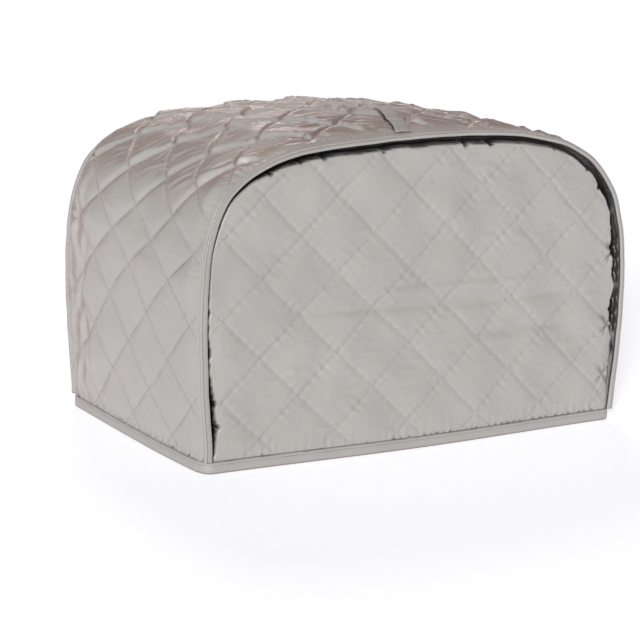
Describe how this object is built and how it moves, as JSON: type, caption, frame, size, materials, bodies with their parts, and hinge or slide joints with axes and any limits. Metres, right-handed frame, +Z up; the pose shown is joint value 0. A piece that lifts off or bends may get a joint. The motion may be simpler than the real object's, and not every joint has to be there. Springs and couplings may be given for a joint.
{
  "type": "microwave cover",
  "caption": "Fitted cover of diamond-quilted cloth for a countertop microwave, arched front and back, bound seams and hem, short tape loop on top.",
  "frame": {"origin": "middle of the hood's box, on the surface that the hem stands on", "axes": "+X along the front from left to right, +Y from the front to the back, +Z up"},
  "size_m": [0.524, 0.3088, 0.335],
  "materials": {
    "quilted_cloth": "satin",
    "binding": "matte",
    "strap": "satin"
  },
  "bodies": {
    "root": {"wrap_panel": "quilted_cloth", "front_panel": "quilted_cloth", "back_panel": "quilted_cloth", "front_binding": "binding", "back_binding": "binding", "hem_binding": "binding", "top_strap": "strap"}
  },
  "joints": []
}
